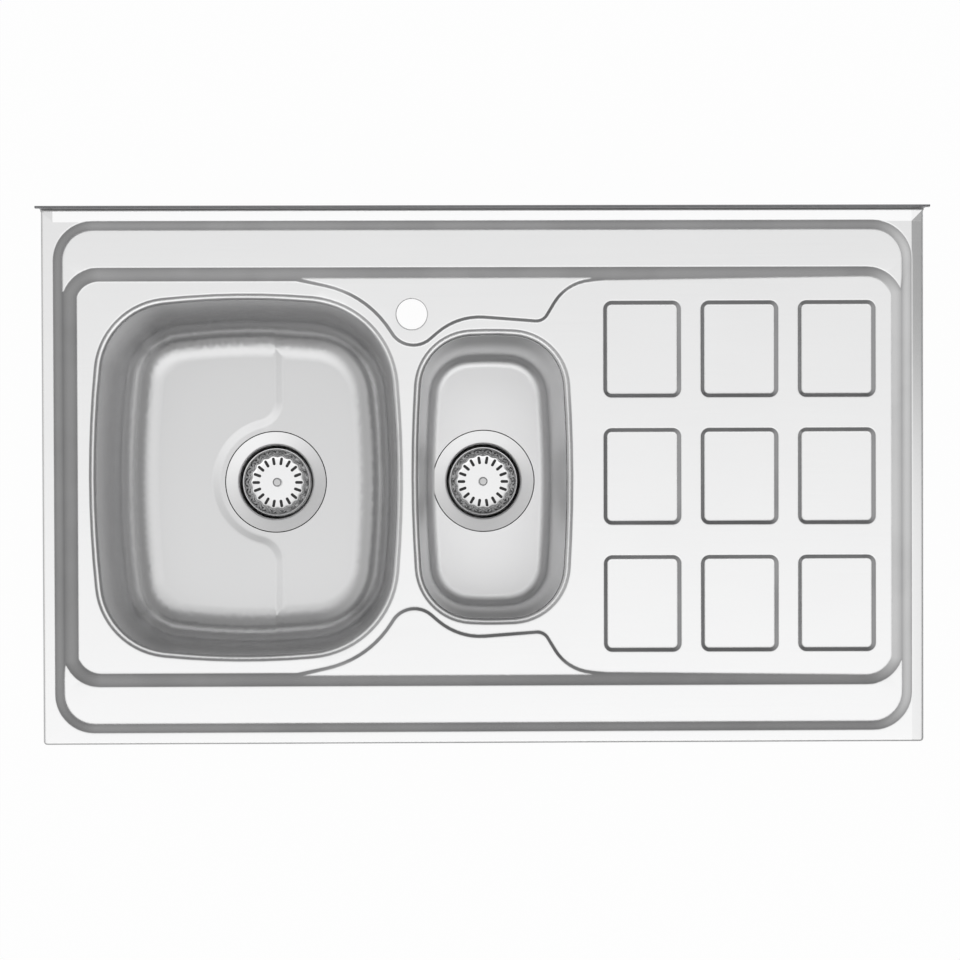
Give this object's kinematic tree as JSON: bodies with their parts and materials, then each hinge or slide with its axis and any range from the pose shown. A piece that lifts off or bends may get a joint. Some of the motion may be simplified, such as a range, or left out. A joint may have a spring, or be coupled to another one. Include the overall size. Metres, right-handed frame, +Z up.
{
  "type": "top-mount sink",
  "caption": "Lay-on stainless kitchen sink with a large bowl, a half bowl, a drainer of shallow panels, a tap hole, a back lip and basket strainer wastes.",
  "frame": {"origin": "middle of the deck's plan, on the plane of the turned-in apron that rests on the cabinet", "axes": "+X along the deck from the bowls to the drainer, +Y to the back lip, +Z up"},
  "size_m": [1.008, 0.6076, 0.3268],
  "materials": {
    "deck_steel": "fine satin",
    "bowl_steel": "fine satin",
    "bitumen": "matt, slightly grainy",
    "channel_steel": "mill",
    "flange_steel": "spun satin",
    "basket_steel": "polished",
    "pin_chrome": "bright",
    "screw_steel": "turned",
    "insert_brass": "turned",
    "gasket_rubber": "matt",
    "plug_rubber": "matt",
    "body_plastic": "moulded",
    "nut_plastic": "moulded"
  },
  "bodies": {
    "sink": {"sink_deck": "deck_steel", "large_bowl": "bowl_steel", "small_bowl": "bowl_steel", "large_bowl_damping_pads": "bitumen", "small_bowl_damping_pads": "bitumen", "drainer_stiffeners": "channel_steel", "large_waste_flange": "flange_steel", "large_flange_gasket": "gasket_rubber", "large_body_gasket": "gasket_rubber", "large_waste_body": "body_plastic", "large_clamp_screw": "screw_steel", "large_screw_insert": "insert_brass", "large_outlet_nut": "nut_plastic", "large_outlet_washer": "gasket_rubber", "small_waste_flange": "flange_steel", "small_flange_gasket": "gasket_rubber", "small_body_gasket": "gasket_rubber", "small_waste_body": "body_plastic", "small_clamp_screw": "screw_steel", "small_screw_insert": "insert_brass", "small_outlet_nut": "nut_plastic", "small_outlet_washer": "gasket_rubber"},
    "large_strainer": {"large_basket": "basket_steel", "large_basket_pin": "pin_chrome", "large_basket_plug": "plug_rubber", "large_basket_nut": "insert_brass"},
    "small_strainer": {"small_basket": "basket_steel", "small_basket_pin": "pin_chrome", "small_basket_plug": "plug_rubber", "small_basket_nut": "insert_brass"}
  },
  "joints": [
    {"name": "large_basket_lift", "type": "slide", "parent": "sink", "child": "large_strainer", "axis": [0, 0, 1], "range_m": [0, 0.25]},
    {"name": "small_basket_lift", "type": "slide", "parent": "sink", "child": "small_strainer", "axis": [0, 0, 1], "range_m": [0, 0.25]}
  ]
}
